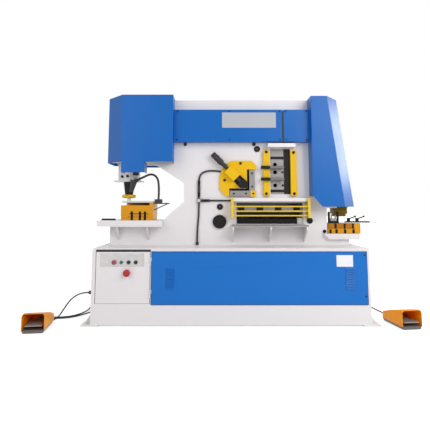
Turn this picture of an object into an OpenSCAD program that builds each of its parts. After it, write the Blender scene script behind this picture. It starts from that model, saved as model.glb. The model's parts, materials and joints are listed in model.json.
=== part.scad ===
// Hydraulic ironworker: a punching end, a shearing section and a notching end
// on one welded frame, with a cabinet below and two foot switches.
// X points right, Y to the back and Z up. The origin is on the floor, in the
// middle of the four anchor holes. Sizes are in millimetres.

/* [Cabinet] */
// Width of the cabinet
base_w = 2080; // [2070:2:2100]
// Depth of the cabinet
base_d = 800; // [780:2:830]
// Height of the cabinet's top above the floor
base_h = 570; // [560:1:585]
// Thickness of the cabinet's walls
sheet_t = 5; // [4:0.5:6]
// Thickness of the cabinet's top plate
top_t = 16; // [12:1:20]
// Height of the skirt below the door and the panel
skirt_h = 165; // [155:1:175]
// How far the feet reach out past the cabinet's sides
foot_out = 70; // [60:1:80]
// Thickness of the feet
foot_t = 12; // [10:1:14]
// Radius of the anchor holes
anchor_r = 11; // [9:0.5:12]
// Width of the electrics door
door_w = 402; // [396:1:404]
// Depth of the door's folded edge
door_d = 18; // [14:1:20]
// Thickness of the door's and the panel's sheet
skin_t = 2.5; // [2:0.5:3]
// Depth of the front panel's folded edge
panel_d = 10; // [8:1:14]
// Number of slots in each of the panel's two louvre columns
louvre_rows = 9; // [6:1:10]

/* [Frame] */
// Height of the frame above the cabinet
frame_h = 1213; // [1200:1:1216]
// Thickness of each frame plate
plate_t = 40; // [36:1:42]
// Clear space between the two frame plates
plate_gap = 160; // [158:1:166]
// Reach of the frame's left end from the middle
left_reach = 985; // [975:1:990]
// Depth of the open throat behind the punch
throat_depth = 482; // [474:1:490]
// Height of the throat's straight back edge
throat_back_h = 162; // [150:1:170]
// Radius of the beam's pivot pin
pivot_r = 45; // [40:1:48]
// Radius of the pin's end caps
pivot_cap_r = 56; // [52:1:60]

/* [Shear beam] */
// Thickness of the rocking beam
beam_t = 120; // [110:1:122]
// Gap between the moving and the fixed blades
blade_gap = 0.5; // [0.4:0.1:0.8]
// Width of the angle slot
angle_slot = 19; // [17:1:20]
// Radius of the round holes in the bar blades
bar_hole_r = 16; // [12:1:18]
// Height of the fixed flat blade
lower_blade_h = 40; // [36:1:40]
// Radius of the shear cylinder's rod
shear_rod_r = 45; // [40:1:50]
// Radius of both cylinders' barrels
barrel_r = 75; // [70:1:77]

/* [Punching end] */
// Distance of the punch's axis from the arm's end
punch_inset = 127; // [123:1:131]
// Radius of the punch
punch_r = 15; // [12:1:16]
// Radius of the die
die_r = 30; // [28:1:31]
// Radius of the coupling nut
nut_r = 58; // [54:1:62]
// Radius of the ram's rod
ram_r = 50; // [46:1:54]
// Thickness of the punching table
table_t = 49; // [45:1:52]
// Height of the die block above the table
die_block_h = 122; // [118:1:124]
// Height of the gap between the die block and the stripper plate
work_gap = 22; // [20:1:24]
// Thickness of the stripper plate
stripper_t = 15; // [12:1:16]

/* [Notching end] */
// Height of the notching die
notch_die_h = 83; // [80:1:85]
// Width of the notching punch
notch_w = 90; // [80:1:92]
// Depth of the notching punch
notch_d = 100; // [90:1:104]
// Clearance between the notching punch and its die
notch_clear = 4; // [3.5:0.5:6]

/* [Covers] */
// Thickness of the covers' sheet
cover_t = 3; // [2:0.5:4]
// Depth of the punch and notch covers, front to back
cover_d = 500; // [490:2:520]
// How far the band covers stand out from the frame
band_d = 70; // [60:1:80]
// Height of the band covers
band_h = 269; // [260:1:275]

/* [Controls] */
// Radius of the holes for buttons and switches
button_hole_r = 11; // [10.5:0.5:11.5]
// Travel of the push buttons
button_travel = 4; // [3:0.5:4]
// Radius of the emergency stop's head
estop_r = 26; // [22:1:28]

/* [Foot switches] */
// Width of a foot switch's hood
pedal_w = 156; // [150:1:160]
// Length of a foot switch's base
pedal_l = 280; // [276:1:290]
// Height of a foot switch
pedal_h = 140; // [137:1:144]
// Thickness of the hood's wall
hood_t = 4; // [3:0.5:5]
// Radius of the foot switch leads
cord_r = 5; // [4:0.5:6]

/* [Hidden] */
$fn = 48;

// Colours
blue = "#1a68be";
white = "#e6e2e4";
yellow = "#f2c40c";
steel = "#8d8d90";
dark = "#2b2728";
orange = "#f0a030";

// Clearance of a turning or sliding fit
fit = 0.3;
sink = 1;

// Cabinet
half_w = base_w / 2;
half_d = base_d / 2;
front_y = -half_d;
anchor_x = half_w + foot_out / 2;
anchor_y = 350;
foot_in = 60;
foot_w = 100;
gusset_t = 10;
gusset_h = 90;
door_x0 = -half_w + 32;
door_x1 = door_x0 + door_w;
door_z0 = skirt_h + 2;
door_z1 = base_h - 27;
door_gap = 4;
hinge_x = door_x1 + 2;
hinge_r = 5;
hinge_y = front_y - hinge_r;
hinge_h = 60;
hinge_leaf = 30;
hinge_pin_r = 2;
hinge_z = [door_z0 + 40, door_z1 - 40 - hinge_h];
mullion_w = 12;
panel_x0 = door_x1 + door_gap + mullion_w;
panel_x1 = half_w - 25;
panel_z0 = skirt_h - 3;
panel_lap = 15;
louvre_w = 62;
louvre_h = 6;
louvre_pitch = 18;
louvre_rise = 9;
louvre_cap = 14;
louvre_wall = 1.5;
louvre_x = [panel_x0 + 138, panel_x1 - 127];
louvre_z = panel_z0 + 112;
bay_x = door_x1 + door_gap + 4;
bay_back = 100;
board_t = 3;
gland_z = 217;
gland_r = 14;
gland_l = 60;
left_gland_y = -250;
right_gland_y = 150;

// Hydraulic unit inside the cabinet
tank_x0 = -520;
tank_x1 = 300;
tank_d = 600;
tank_h = 310;
tank_t = 4;
lid_t = 8;
motor_x = -350;
motor_r = 110;
motor_room = 35;
valve_room = 125;
pump_h = 130;
valve_x = 50;

// Frame
half_gap = plate_gap / 2;
face_y = -half_gap - plate_t;
top_z = base_h + frame_h;
right_reach = 890;
punch_x = -left_reach + punch_inset;
low_arm_z = base_h + 152;
table_end_x = punch_x + 317;
throat_x = punch_x + throat_depth;
throat_z0 = base_h + 351;
throat_z1 = throat_z0 + throat_back_h;
high_arm_z = base_h + 680;
arm_end_x = punch_x + 218;
notch_edge_x = right_reach - 83;
notch_top_z = base_h + 301;
shelf_x0 = right_reach - 121;
shelf_x1 = right_reach + 95;
shelf_end_x = right_reach + 175;
shelf_z = base_h + 46;
shelf_t = 46;
pivot = [-81, base_h + 189];
angle_window = [-50, 200, base_h + 420, base_h + 670];
bar_window = [345, 505, base_h + 415, base_h + 795];
flat_window = [60, 610, base_h + 171, base_h + 345];
core_t = 40;
core_right = -195;
core_end_x = right_reach - 240;
core_low_z = base_h + 80;
core_high_z = base_h + 910;
bar_flange = [318, 544, base_h + 800, base_h + 832];
bar_flange_d = 80;
ledge = [32, 632, base_h + 354, base_h + 382];
ledge_d = 65;

// Shear beam and its tools
beam_y = beam_t / 2;
blade_y0 = -half_gap + blade_gap;
blade_y1 = -beam_y;
angle_corner = [166, base_h + 444];
angle_leg = 166;
angle_top = base_h + 620;
bar_holes = [[384, base_h + 488], [384, base_h + 598], [384, base_h + 662]];
flat_x0 = 63;
flat_x1 = 575;
flat_z0 = base_h + 219;
flat_z1 = base_h + 255;
flat_blade_h = 80;
flat_low_x1 = 559;
shear_rod_x = right_reach - 115;
beam_top_z = base_h + 800;
rod_gap = 0.5;
rod_tip_r = 20;
barrel_z = base_h + 870;
nose_z = base_h + 306;
nose_x = right_reach + 115;

// Angle station: the clamp slides along the slot's diagonal
station_t = 20;
clamp_w = 74;
clamp_l = 77;
clamp_t = 59;
clamp_back = 30;
screw_r = 14;
grip_r = 19;
grip_l = 165;
screw_y = face_y - 40;
nut_l = 105;
slide_l = 70;
hose_port = [-66, base_h + 603];

// Punching end
ram_block_z = base_h + 675;
ram_low_z = base_h + 533;
ram_plate_t = 10;
punch_stroke = 24;
ram_plate_r = 117;
ram_block_r = 82;
ram_half_d = 60;
nut_h = 30;
ram_flange_z = base_h + 730;
flange_t = 30;
table_x0 = -left_reach - 78;
table_d = 460;
table_z = low_arm_z + table_t;
block_x0 = punch_x - 38;
block_x1 = punch_x + 228;
block_d = 250;
block_z = table_z + die_block_h;
die_h = 29;
die_sunk = 25;
strip_z = block_z + work_gap;
wall_t = 30;
rear_wall_t = 40;
nut_low_z = strip_z + stripper_t + punch_stroke + 1;
holder_low_z = nut_low_z + nut_h;
punch_tip_z = strip_z + 3;
slug_r = 20;
slot_w = 20;
slot_x = [punch_x + 53, punch_x + 120, punch_x + 161];

// Notching end
die_x0 = right_reach - 75;
die_x1 = right_reach + 192;
die_d = 240;
shelf_top_z = shelf_z + shelf_t;
notch_die_z = shelf_top_z + notch_die_h;
notch_x = right_reach + 50;
notch_tip_z = base_h + 230;
holder_w = 112;
holder_d = 116;
holder_z = notch_tip_z + 23;
gauge_y = -82;
gauge_w = 36;
gauge_t = 8;
gauge_x0 = right_reach + 25;
gauge_x1 = right_reach + 340;
gauge_slot = 20;
gauge_play = 40;
stud_x = [right_reach + 107, right_reach + 178];
stud_r = 9;
post_x = [die_x0 + 11, die_x0 + 83];
post_y = -110;
post_r = 8;
post_h = 77;

// Covers
cover_y = cover_d / 2;
cover_top_z = base_h + 1227;
cover_low_z = base_h + 675;
cover_right_x = punch_x + 398;
cover_left_x = -left_reach - 35;
cover_edge = 143;
tongue_x0 = punch_x - 16;
tongue_x1 = punch_x + 172;
tongue_z = base_h + 587;
tongue_d = 125;
hood_left_x = right_reach - 223;
hood_top_z = base_h + 1217;
hood_low_z = base_h + 312;
hood_top_x = right_reach + 27;
hood_low_x = right_reach + 148;
hood_edge = [118, 140];
hood_cut_z = base_h + 402;
hood_cut_x = hood_left_x + 73;
band_z0 = base_h + 847;
band_gap_x = 446;
band_gap = 6;

// Controls on the door
control_z = base_h - 103;
lamp_x = door_x0 + 85;
stop_x = door_x0 + 136;
start_x = door_x0 + 190;
selector_x = [door_x0 + 244, door_x0 + 297];
estop_x = door_x0 + 235;
estop_z = base_h - 179;
stem_r = button_hole_r - 0.5;
stem_y = front_y + 25;
cap_r = 12;

// Foot switches: each stands at its lead's exit and is turned about Z
pedal_turn = 8;
left_exit = [-1429, -280, 40];
right_exit = [1263, -190, 40];
exit_h = 40;
pedal_base_h = 22;
relief_r = 10;
relief_l = 20;
treadle_y = -110;
treadle_z = 49;
treadle_w = 116;
treadle_t = 8;
lug_t = 8;

// Routes of the two leads, from the gland to the foot switch
left_route = [[-1100, -250, 217], [-1160, -252, 208], [-1230, -256, 165], [-1285, -260, 95],
    [-1320, -264, 30], [-1342, -264, 6], [-1348, -254, 6], [-1320, -232, 6], [-1230, -130, 6],
    [-1160, -10, 6], [-1130, 120, 6], [-1130, 250, 6], [-1155, 300, 6], [-1182, 250, 6],
    [-1185, 120, 6], [-1210, 0, 6], [-1260, -110, 6], [-1325, -165, 6], [-1395, -180, 8],
    [-1428, -225, 30], [-1429, -280, 40]];
right_route = [[1100, 150, 217], [1140, 152, 205], [1165, 170, 130], [1172, 210, 40],
    [1165, 260, 8], [1150, 310, 6], [1175, 345, 6], [1212, 320, 6], [1235, 220, 6],
    [1255, 128, 6], [1272, 20, 6], [1280, -70, 8], [1272, -140, 28], [1263, -190, 40]];
hose_r = 7;

// A box between two X, two Y and two Z places
module box(x, y, z) {
    translate([x[0], y[0], z[0]]) cube([x[1] - x[0], y[1] - y[0], z[1] - z[0]]);
}

// A drawing in X and Z, made solid between two Y places
module upright(y) {
    translate([0, y[1], 0]) rotate([90, 0, 0]) linear_extrude(y[1] - y[0]) children();
}

// A drawing in Y and Z, made solid between two X places
module sideways(x) {
    translate([x[0], 0, 0]) rotate([90, 0, 90]) linear_extrude(x[1] - x[0]) children();
}

// Round bars along each axis
module round_x(x, y, z, r) {
    translate([x[0], y, z]) rotate([0, 90, 0]) cylinder(r = r, h = x[1] - x[0]);
}

module round_y(x, y, z, r) {
    translate([x, y[1], z]) rotate([90, 0, 0]) cylinder(r = r, h = y[1] - y[0]);
}

module round_z(x, y, z, r) {
    translate([x, y, z[0]]) cylinder(r = r, h = z[1] - z[0]);
}

// Its children at both ends of an axis
module both(axis) {
    children();
    mirror(axis) children();
}

// A tube swept along points, with its first and last directions given
function unit(v) = v / norm(v);
function bend(p, i, t) = let (a = p[max(i - 1, 0)], b = p[i], c = p[i + 1], d = p[min(i + 2, len(p) - 1)])
    0.5 * (2 * b + (c - a) * t + (2 * a - 5 * b + 4 * c - d) * t * t + (3 * b - 3 * c + d - a) * t * t * t);
function smooth(p, n) =
    concat([for (i = [0:len(p) - 2]) for (k = [0:n - 1]) bend(p, i, k / n)], [p[len(p) - 1]]);
function ring(c, t, r, sides, side) = let (u = unit(cross(side, t)), v = cross(t, u))
    [for (k = [0:sides - 1]) c + r * (cos(360 * k / sides) * u + sin(360 * k / sides) * v)];

module tube(p, r, sides, side, start, finish) {
    n = len(p);
    along = [for (i = [0:n - 1]) i == 0 ? start : i == n - 1 ? finish : unit(p[i + 1] - p[i - 1])];
    walls = [for (i = [0:n - 2]) for (k = [0:sides - 1])
        let (a = i * sides + k, b = i * sides + (k + 1) % sides)
        each [[a, a + sides, b + sides], [a, b + sides, b]]];
    polyhedron([for (i = [0:n - 1]) each ring(p[i], along[i], r, sides, side)],
        concat([[for (k = [0:sides - 1]) k]], walls, [[for (k = [sides - 1:-1:0]) (n - 1) * sides + k]]));
}

// Cabinet
module foot() {
    difference() {
        union() {
            box([half_w - foot_in, half_w + foot_out],
                [anchor_y - foot_w / 2, anchor_y + foot_w / 2], [0, foot_t]);
            upright([anchor_y - foot_w / 2, anchor_y - foot_w / 2 + gusset_t])
                polygon([[half_w, foot_t], [half_w + foot_out - 8, foot_t], [half_w, foot_t + gusset_h]]);
        }
        round_z(anchor_x, anchor_y, [-1, foot_t + 1], anchor_r);
    }
}

module base_cabinet() {
    inside_y = [front_y + sheet_t, half_d - sheet_t];
    inside_z = [foot_t + sheet_t, base_h - top_t];
    front_cut = [front_y - 1, front_y + sheet_t + 1];
    color(white) {
        difference() {
            box([-half_w, half_w], [front_y, half_d], [foot_t, base_h]);
            box([-half_w + sheet_t, bay_x], inside_y, inside_z);
            box([bay_x + sheet_t, half_w - sheet_t], inside_y, inside_z);
            box([door_x0 - door_gap, door_x1 + door_gap], front_cut, [skirt_h, base_h - top_t]);
            box([panel_x0 + panel_lap, panel_x1 - panel_lap], front_cut,
                [panel_z0 + panel_lap, door_z1 - panel_lap]);
        }
        both([1, 0, 0]) both([0, 1, 0]) foot();
        for (z = hinge_z) {
            box([hinge_x, panel_x0 - 1], [front_y - 3, front_y], [z + hinge_h / 2 + fit, z + hinge_h]);
            round_z(hinge_x, hinge_y, [z + hinge_h / 2 + fit, z + hinge_h], hinge_r);
            round_z(hinge_x, hinge_y, [z + 5, z + hinge_h], hinge_pin_r);
        }
    }
}

// A pressed hood over one of the panel's slots, open below
module louvre(x, z) {
    y = front_y - panel_d;
    half = louvre_w / 2;
    run = louvre_rise / louvre_cap;
    lip = louvre_wall * norm([1, run]);
    difference() {
        sideways([x - half - louvre_wall, x + half + louvre_wall])
            polygon([[y + sink, z], [y - louvre_rise, z], [y, z + louvre_cap], [y + sink, z + louvre_cap]]);
        sideways([x - half, x + half])
            polygon([[y + sink + 1, z - 1], [y - louvre_rise + lip - run, z - 1],
                [y + sink + 1, z + (sink + 1 + louvre_rise - lip) / run]]);
    }
}

module front_panel() {
    rows = [for (i = [0:louvre_rows - 1]) louvre_z + i * louvre_pitch];
    color(blue) {
        difference() {
            box([panel_x0, panel_x1], [front_y - panel_d, front_y], [panel_z0, door_z1]);
            box([panel_x0 + skin_t, panel_x1 - skin_t], [front_y - panel_d + skin_t, front_y + 1],
                [panel_z0 + skin_t, door_z1 - skin_t]);
            for (x = louvre_x, z = rows)
                box([x - louvre_w / 2, x + louvre_w / 2], [front_y - panel_d - 1, front_y],
                    [z, z + louvre_h]);
        }
        for (x = louvre_x, z = rows)
            louvre(x, z);
    }
}

module electrics_board() {
    color("#d8c9a0") {
        box([-half_w + sheet_t, bay_x], [bay_back, bay_back + board_t], [foot_t + 110, base_h - 60]);
        for (i = [0:3])
            box([door_x0 + 40 + i * 88, door_x0 + 105 + i * 88], [bay_back - 70, bay_back],
                [base_h - 190, base_h - 100]);
        box([door_x0 + 40, door_x0 + 370], [bay_back - 40, bay_back], [base_h - 340, base_h - 300]);
    }
}

// Hydraulic unit
tank_z = foot_t + sheet_t;
lid_z = tank_z + tank_h;

module oil_tank() {
    color(steel) difference() {
        box([tank_x0, tank_x1], [-tank_d / 2, tank_d / 2], [tank_z, lid_z]);
        box([tank_x0 + tank_t, tank_x1 - tank_t], [-tank_d / 2 + tank_t, tank_d / 2 - tank_t],
            [tank_z + tank_t, lid_z + 1]);
    }
}

module power_unit() {
    deck_z = lid_z + lid_t;
    color(steel) {
        box([tank_x0, tank_x1], [-tank_d / 2, tank_d / 2], [lid_z, deck_z]);
        round_z(motor_x, 0, [deck_z - sink, base_h - motor_room], motor_r);
        box([motor_x - 50, motor_x + 50], [-50, 50], [lid_z - pump_h, lid_z + sink]);
        box([valve_x - 100, valve_x + 100], [-80, 80], [deck_z - sink, base_h - valve_room]);
        for (y = [-45, 45])
            round_x([valve_x + 100 - sink, valve_x + 160], y, (deck_z + base_h - valve_room) / 2, 22);
    }
}

// Frame
module window(w) {
    translate([w[0], w[2]]) square([w[1] - w[0], w[3] - w[2]]);
}

module frame_profile() {
    difference() {
        polygon([[-left_reach, base_h], [-left_reach, low_arm_z], [table_end_x, low_arm_z],
            [table_end_x, table_z + 9], [throat_x, throat_z0], [throat_x, throat_z1],
            [arm_end_x, high_arm_z], [-left_reach, high_arm_z], [-left_reach, top_z],
            [right_reach, top_z], [right_reach, notch_top_z], [notch_edge_x, notch_top_z],
            [notch_edge_x, shelf_top_z], [shelf_x0, shelf_top_z], [shelf_x0, shelf_z],
            [shelf_x1, shelf_z], [shelf_x1, base_h]]);
        window(angle_window);
        window(bar_window);
        window(flat_window);
        translate(pivot) circle(r = pivot_r + 0.1);
    }
}

module frame_front_plate() {
    color(white) {
        upright([face_y, -half_gap]) frame_profile();
        box([bar_flange[0], bar_flange[1]], [face_y - bar_flange_d, face_y + sink],
            [bar_flange[2], bar_flange[3]]);
        box([ledge[0], ledge[1]], [face_y - ledge_d, face_y + sink], [ledge[2], ledge[3]]);
    }
}

module frame_core() {
    left = -left_reach + core_t;
    post = table_end_x - core_t;
    difference() {
        polygon([[-left_reach, base_h], [-left_reach, low_arm_z], [left, low_arm_z],
            [left, base_h + core_t], [post, base_h + core_t], [post, low_arm_z],
            [table_end_x, low_arm_z], [table_end_x, table_z + 9], [throat_x, throat_z0],
            [throat_x, throat_z1], [arm_end_x, high_arm_z], [arm_end_x, top_z], [core_end_x, top_z],
            [core_end_x, core_high_z], [core_right, core_high_z], [core_right, core_low_z],
            [shelf_x0 - 34, core_low_z], [shelf_x0 - 34, base_h]]);
        window([throat_x + 46, core_right - 45, base_h + 130, core_high_z - core_t]);
        window([arm_end_x + 50, core_end_x - core_t, core_high_z + 50, top_z - core_t]);
    }
}

module frame_body() {
    color(white) {
        upright([half_gap, -face_y]) frame_profile();
        upright([-half_gap, half_gap + sink]) frame_core();
    }
}

module pivot_pin() {
    color(dark) {
        round_y(pivot[0], [face_y, -face_y], pivot[1], pivot_r);
        round_y(pivot[0], [face_y - 18, face_y], pivot[1], pivot_cap_r);
        round_y(pivot[0], [-face_y, -face_y + 18], pivot[1], pivot_cap_r);
    }
}

// Covers
module cover_plan(inset) {
    far = cover_y - inset;
    side = cover_y - cover_edge - inset * 0.4;
    front = cover_left_x + cover_edge + inset * 0.4;
    polygon([[cover_right_x - inset, -far], [front, -far], [cover_left_x + inset, -side],
        [cover_left_x + inset, side], [front, far], [cover_right_x - inset, far]]);
}

module punch_cover() {
    color(blue) difference() {
        union() {
            translate([0, 0, cover_low_z]) linear_extrude(cover_top_z - cover_low_z) cover_plan(0);
            box([tongue_x0, tongue_x1], [-cover_y, -tongue_d], [tongue_z, cover_low_z]);
        }
        translate([0, 0, cover_low_z - 1]) linear_extrude(cover_top_z - cover_t - cover_low_z + 1)
            cover_plan(cover_t);
        box([tongue_x0 + cover_t, tongue_x1 - cover_t], [-cover_y + cover_t, -tongue_d + 1],
            [tongue_z - 1, cover_low_z + 1]);
        box([cover_right_x - cover_t - 1, cover_right_x + 1], [face_y, -face_y],
            [cover_low_z - 1, cover_top_z - cover_t]);
    }
}

hood_slope = (hood_low_x - hood_top_x) / (hood_top_z - hood_low_z);
hood_run = [hood_low_x - hood_top_x, 0, hood_low_z - hood_top_z];
hood_out = -unit(cross([hood_edge[0], hood_edge[1], 0], hood_run));

module hood_edge_cut(inset) {
    translate([hood_top_x, hood_edge[1] - cover_y, hood_top_z] - hood_out * inset)
        rotate([0, -asin(hood_out[2]), atan2(hood_out[1], hood_out[0])])
        translate([0, -1000, -1500]) cube([400, 2000, 3000]);
}

module notcher_cover() {
    below = 60;
    left = hood_left_x + cover_t;
    lip = cover_t * norm([1, hood_slope]);
    color(blue) {
        difference() {
            upright([-cover_y, cover_y])
                polygon([[hood_left_x, hood_cut_z], [hood_cut_x, hood_low_z], [hood_low_x, hood_low_z],
                    [hood_top_x, hood_top_z], [hood_left_x, hood_top_z]]);
            both([0, 1, 0]) hood_edge_cut(0);
            difference() {
                upright([-cover_y + cover_t, cover_y - cover_t])
                    polygon([[left, hood_low_z - below],
                        [hood_low_x - lip + below * hood_slope, hood_low_z - below],
                        [hood_top_x - lip + cover_t * hood_slope, hood_top_z - cover_t],
                        [left, hood_top_z - cover_t]]);
                both([0, 1, 0]) hood_edge_cut(cover_t);
            }
            box([hood_left_x - 1, left + 1], [face_y, -face_y], [hood_low_z, hood_top_z - cover_t]);
        }
        band([band_gap_x + band_gap / 2, hood_left_x + cover_t - 1]);
    }
}

// A shallow pan over the frame's upper arm
module band(x) {
    difference() {
        box(x, [face_y - band_d, face_y], [band_z0, band_z0 + band_h]);
        box([x[0] + cover_t, x[1] - cover_t], [face_y - band_d + cover_t, face_y + 1],
            [band_z0 + cover_t, band_z0 + band_h - cover_t]);
    }
}

module band_covers() {
    color(blue) {
        band([cover_right_x, band_gap_x - band_gap / 2]);
        mirror([0, 1, 0]) band([cover_right_x, hood_left_x]);
    }
}

// Shear beam and its moving blades
boss_r = 95;
angle_edge = [angle_corner[0] - angle_slot, angle_corner[1] + angle_slot];

module shear_beam() {
    through = [-beam_y - 1, beam_y + 1];
    color(steel) difference() {
        union() {
            round_y(pivot[0], [-beam_y, beam_y], pivot[1], boss_r);
            upright([-beam_y, beam_y])
                polygon([[-160, pivot[1] - 59], [-160, base_h + 760], [-100, base_h + 820],
                    [shear_rod_x - 115, base_h + 820], [shear_rod_x - 75, beam_top_z],
                    [shear_rod_x + 85, beam_top_z], [shear_rod_x + 105, base_h + 630],
                    [nose_x - 20, base_h + 430], [nose_x, base_h + 360], [nose_x, nose_z],
                    [nose_x - 165, nose_z],
                    [640, flat_z1 + 23], [flat_x0 - 23, flat_z0 + 13], [0, pivot[1] - 19]]);
        }
        round_y(pivot[0], through, pivot[1], pivot_r + fit);
        upright(through) {
            window([-30, 200, base_h + 415, angle_edge[1] + 7]);
            window([angle_edge[0] - 7, 200, base_h + 415, base_h + 645]);
            window([bar_window[0] + 15, bar_window[0] + 65, base_h + 460, base_h + 690]);
        }
    }
}

module angle_moving_blade() {
    color(steel) box([-20, angle_edge[0]], [blade_y0, blade_y1], [angle_edge[1], base_h + 630]);
}

module bar_hole_cuts(y) {
    for (h = bar_holes)
        round_y(h[0], y, h[1], bar_hole_r);
}

module bar_moving_blade() {
    color(dark) difference() {
        box([bar_window[0], bar_window[1]], [blade_y0, blade_y1], [base_h + 430, base_h + 730]);
        bar_hole_cuts([blade_y0 - 1, blade_y1 + 1]);
    }
}

module flat_upper_blade() {
    color(dark) upright([blade_y0, blade_y1])
        polygon([[flat_x0, flat_z0], [flat_x1, flat_z1], [flat_x1, flat_z1 + flat_blade_h],
            [flat_x0, flat_z0 + flat_blade_h]]);
}

module shear_cylinder() {
    color(steel) difference() {
        union() {
            round_z(shear_rod_x, 0, [barrel_z, barrel_z + 300], barrel_r);
            box([shear_rod_x - 85, shear_rod_x + 85], [-half_gap, half_gap],
                [barrel_z + 260, barrel_z + 300]);
        }
        round_z(shear_rod_x, 0, [barrel_z - 1, barrel_z + 260], shear_rod_r + fit);
    }
}

module shear_rod() {
    color("silver") {
        round_z(shear_rod_x, 0, [beam_top_z + rod_gap, beam_top_z + 30 + sink], rod_tip_r);
        round_z(shear_rod_x, 0, [beam_top_z + 30, barrel_z + 250], shear_rod_r);
    }
}

// Angle station
clamp_gap = 3;
clamp_rear = clamp_gap + clamp_l;
nut_near = clamp_rear + clamp_back + 10;
nut_far = nut_near + nut_l;
grip_near = nut_far + 14;

// Moves a drawing, or a part drawn along Z, onto the diagonal that leads up and left from the slot
module diagonal_flat() {
    translate(angle_edge) rotate(135) children();
}

module diagonal_rod() {
    translate([angle_edge[0], screw_y, angle_edge[1]]) rotate([0, -45, 0]) children();
}

module angle_plate() {
    color(yellow) difference() {
        union() {
            upright([face_y - station_t, face_y]) difference() {
                polygon([[-78, base_h + 458], [-55, base_h + 425], [-20, base_h + 395], [0, base_h + 395],
                    [0, angle_edge[1]], angle_edge, [angle_edge[0], angle_top], [225, angle_top],
                    [225, base_h + 655], [185, base_h + 692], [12, base_h + 692],
                    hose_port + [0, 13], hose_port - [0, 13], [-78, base_h + 570]]);
                diagonal_flat() translate([-40, -clamp_w / 2 - 0.5])
                    square([clamp_rear + slide_l + clamp_back + 42, clamp_w + 1]);
            }
            upright([screw_y - 25, face_y - station_t + sink])
                diagonal_flat() translate([nut_near, -40]) square([nut_l, 80]);
        }
        diagonal_rod() translate([0, 0, nut_near - 1]) cylinder(r = screw_r + fit, h = nut_l + 2);
    }
}

module angle_clamp_block() {
    point = clamp_w / 2;
    rear_y = screw_y - 20 + clamp_t;
    color(dark) {
        upright([screw_y - 20, rear_y]) diagonal_flat()
            polygon([[clamp_gap, 0], [clamp_gap + point, point], [clamp_rear, point],
                [clamp_rear, -point], [clamp_gap + point, -point]]);
        upright([face_y - station_t + sink + fit, rear_y]) diagonal_flat()
            translate([clamp_rear - sink, -point]) square([slide_l + sink, clamp_w]);
    }
}

module angle_clamp_screw() {
    color(dark) diagonal_rod() {
        translate([0, 0, clamp_rear]) cylinder(r = screw_r, h = grip_near - clamp_rear + sink);
        translate([0, 0, grip_near]) cylinder(r1 = grip_r - 3, r2 = grip_r, h = grip_l * 0.6);
        translate([0, 0, grip_near + grip_l * 0.6 - sink]) cylinder(r = grip_r, h = grip_l * 0.4 + sink);
    }
}

module angle_fixed_blades() {
    x = angle_corner[0];
    z = angle_corner[1];
    color(steel) {
        box([x, angle_window[1]], [face_y - sink, -half_gap], [z, angle_top]);
        box([x, x + 46], [face_y - station_t, face_y], [z, angle_top - 5]);
        box([x - angle_leg, angle_window[1]], [face_y - sink, -half_gap], [angle_window[2], z]);
        box([x - angle_leg + 4, x + 46], [face_y - station_t, face_y], [z - 48, z]);
    }
}

// Bar station
strip_x = [[284, 335], [509, 561]];
strip_t = 30;
strip_span = [base_h + 399, base_h + 780];
pin_z = [base_h + 538, base_h + 635];
pin_y = face_y - strip_t - 12.5;

module bar_strips() {
    color(yellow) for (x = strip_x)
        box(x, [face_y - strip_t, face_y], strip_span);
}

module bar_rest_pins() {
    color(dark) for (z = pin_z) {
        box([strip_x[0][0] - 22, strip_x[0][1]], [face_y - strip_t - 25, face_y - strip_t], [z - 13, z + 13]);
        round_x([strip_x[0][1] - sink, strip_x[0][1] + 105], pin_y, z, 7);
    }
}

module bar_fixed_blade() {
    color(steel) difference() {
        box([bar_window[0], bar_window[1]], [face_y, -half_gap], [bar_window[2], bar_window[3]]);
        bar_hole_cuts([face_y - 1, -half_gap + 1]);
    }
}

// Flat bar station
guard_t = 20;
guard_d = 95;
guard_span = [base_h + 221, base_h + 380];
guard_bars = [base_h + 239, base_h + 275, base_h + 313];
guard_bar_r = 6;
feed_z = base_h + 152;
feed_t = 12;
feed_d = 140;
feed_x = [16, 625];

module flat_guard() {
    color(yellow) {
        box([ledge[0] - guard_t, ledge[0]], [face_y - guard_d, face_y], guard_span);
        box([ledge[1], ledge[1] + guard_t], [face_y - guard_d, face_y], guard_span);
        for (z = guard_bars)
            round_x([ledge[0] - sink, ledge[1] + sink], face_y - guard_d + 15, z, guard_bar_r);
    }
}

module flat_lower_blade() {
    color(dark) box([flat_x0, flat_low_x1], [face_y, -half_gap],
        [flat_window[2], flat_window[2] + lower_blade_h]);
}

module feed_table() {
    color(white) {
        box(feed_x, [face_y - feed_d, face_y], [feed_z, feed_z + feed_t]);
        for (x = [feed_x[0] + 6, (feed_x[0] + feed_x[1]) / 2, feed_x[1] - 18])
            sideways([x, x + 12]) polygon([[face_y - feed_d + 2, feed_z + sink],
                [face_y - feed_d + 2, feed_z - 25], [face_y, feed_z - 130], [face_y, feed_z + sink]]);
    }
}

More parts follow.
